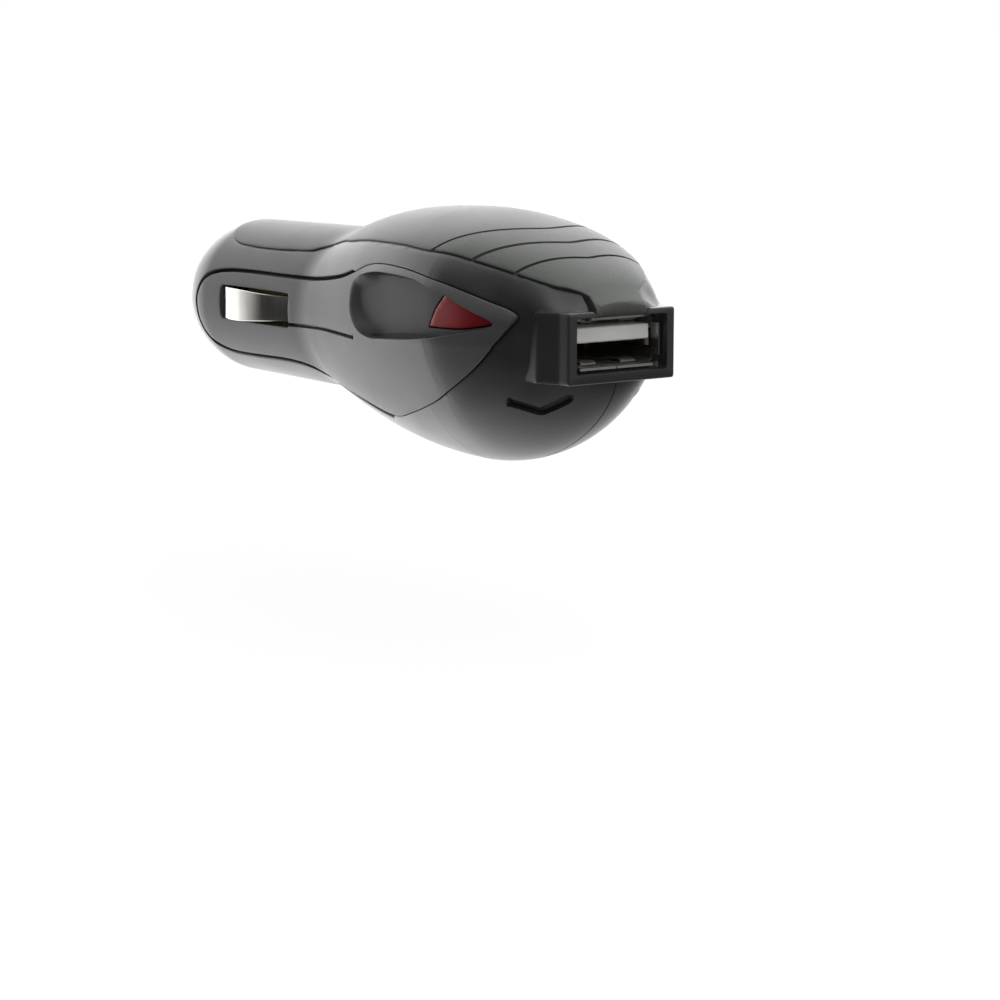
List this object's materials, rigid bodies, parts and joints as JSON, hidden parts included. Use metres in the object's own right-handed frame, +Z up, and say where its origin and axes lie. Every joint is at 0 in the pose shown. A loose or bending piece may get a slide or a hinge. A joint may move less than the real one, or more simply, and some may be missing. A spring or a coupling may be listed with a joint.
{
  "type": "car usb charger plug",
  "caption": "Barrel plug for a car's 12 V outlet, with a rounded head that holds a USB socket, a sprung tip contact and sprung side contacts.",
  "frame": {"origin": "on the barrel's axis, in the middle of the plain band that fits the outlet's mouth", "axes": "+Y along the barrel towards the spring tip, the USB socket faces -Y, +Z up towards the soft pad, -X is the plug's left side"},
  "size_m": [0.031, 0.0908, 0.0307],
  "materials": {
    "shell_plastic": "charcoal moulded plastic with a satin gloss",
    "pad_soft": "dark grey soft-touch coat",
    "panel_plastic": "grey plastic with a fine matt texture",
    "lens_red": "red translucent plastic",
    "contact_nickel": "bright nickel plating",
    "spring_steel": "drawn wire",
    "socket_steel": "nickel-plated sheet",
    "seat_brass": "plain stamped",
    "board_green": "satin solder mask",
    "tongue_white": "moulded, white",
    "pin_gold": "gold flash",
    "ferrite": "dull sintered",
    "winding_copper": "varnished copper wire",
    "can_sleeve": "dark plastic sleeve over a can",
    "chip_black": "moulded epoxy",
    "chip_ceramic": "plain ceramic",
    "led_red": "clear red epoxy",
    "lead_red": "insulated wire"
  },
  "bodies": {
    "housing": {"left_shell": "shell_plastic", "right_shell": "shell_plastic", "top_pad": "pad_soft", "left_side_panel": "panel_plastic", "right_side_panel": "panel_plastic", "left_eye_lens": "lens_red", "right_eye_lens": "lens_red", "tip_spring": "spring_steel", "spring_seat": "seat_brass", "circuit_board": "board_green", "usb_shell": "socket_steel", "usb_tongue": "tongue_white", "usb_pins": "pin_gold", "inductor_core": "ferrite", "inductor_winding": "winding_copper", "input_capacitor": "can_sleeve", "output_capacitor": "can_sleeve", "regulator_chip": "chip_black", "rectifier_diode": "chip_black", "chip_resistors": "chip_black", "chip_capacitors": "chip_ceramic", "left_led": "led_red", "right_led": "led_red", "tip_lead": "lead_red"},
    "tip": {"tip_contact": "contact_nickel"},
    "left_contact": {"left_ground_contact": "contact_nickel"},
    "right_contact": {"right_ground_contact": "contact_nickel"}
  },
  "joints": [
    {"name": "tip_slide", "type": "slide", "parent": "housing", "child": "tip", "axis": [0, -1, 0], "range_m": [0, 0.0025], "stiffness_N_per_m": 1500, "deforming": ["tip_spring"]},
    {"name": "left_contact_hinge", "type": "hinge", "parent": "housing", "child": "left_contact", "pos_m": [-0.00745, 0.0006, 0], "axis": [0, 0, -1], "range_deg": [0, 6], "stiffness_Nm_per_rad": 0.3},
    {"name": "right_contact_hinge", "type": "hinge", "parent": "housing", "child": "right_contact", "pos_m": [0.00745, 0.0006, 0], "axis": [0, 0, 1], "range_deg": [0, 6], "stiffness_Nm_per_rad": 0.3}
  ]
}
